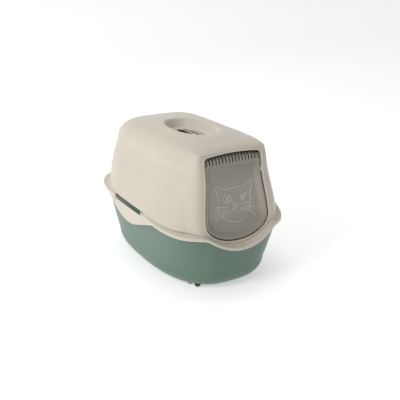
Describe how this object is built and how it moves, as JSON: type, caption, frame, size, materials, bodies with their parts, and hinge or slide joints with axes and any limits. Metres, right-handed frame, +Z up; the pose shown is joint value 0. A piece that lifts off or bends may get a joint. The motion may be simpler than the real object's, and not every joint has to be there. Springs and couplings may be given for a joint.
{
  "type": "cat litter box with hood",
  "caption": "Hooded cat litter box: flared tray, tapered hood with handle well and vents, swing door, side latches and odour filter.",
  "frame": {"origin": "on the surface the box stands on, under the middle of the hood's rim", "axes": "+Z up, -Y towards the door, +X to the right of someone who faces the door, +Y along the length away from the door"},
  "size_m": [0.3902, 0.5824, 0.3895],
  "materials": {
    "tray_plastic": "moulded polypropylene, sage green, satin",
    "hood_plastic": "moulded polypropylene, warm cream, satin",
    "smoked_plastic": "smoked translucent plastic, glossy",
    "charcoal_foam": "open charcoal felt, black"
  },
  "bodies": {
    "tray": {"tray": "tray_plastic"},
    "hood": {"hood": "hood_plastic"},
    "door": {"door_flap": "smoked_plastic"},
    "latch_left": {"latch_left": "hood_plastic"},
    "latch_right": {"latch_right": "hood_plastic"},
    "filter": {"filter_holder": "hood_plastic", "filter_pad": "charcoal_foam"}
  },
  "joints": [
    {"name": "hood_lift", "type": "slide", "parent": "tray", "child": "hood", "axis": [0, 0, 1], "range_m": [0, 0.25]},
    {"name": "door_swing", "type": "hinge", "parent": "hood", "child": "door", "pos_m": [0, -0.21296, 0.34455], "axis": [1, 0, 0], "range_deg": [-45, 70]},
    {"name": "latch_left_flip", "type": "hinge", "parent": "hood", "child": "latch_left", "pos_m": [-0.19118, -0.008, 0.19115], "axis": [0, 1, 0], "range_deg": [0, 55]},
    {"name": "latch_right_flip", "type": "hinge", "parent": "hood", "child": "latch_right", "pos_m": [0.19118, -0.008, 0.19115], "axis": [0, -1, 0], "range_deg": [0, 55]},
    {"name": "filter_drop", "type": "slide", "parent": "hood", "child": "filter", "axis": [0, 0, -1], "range_m": [0, 0.06]}
  ]
}
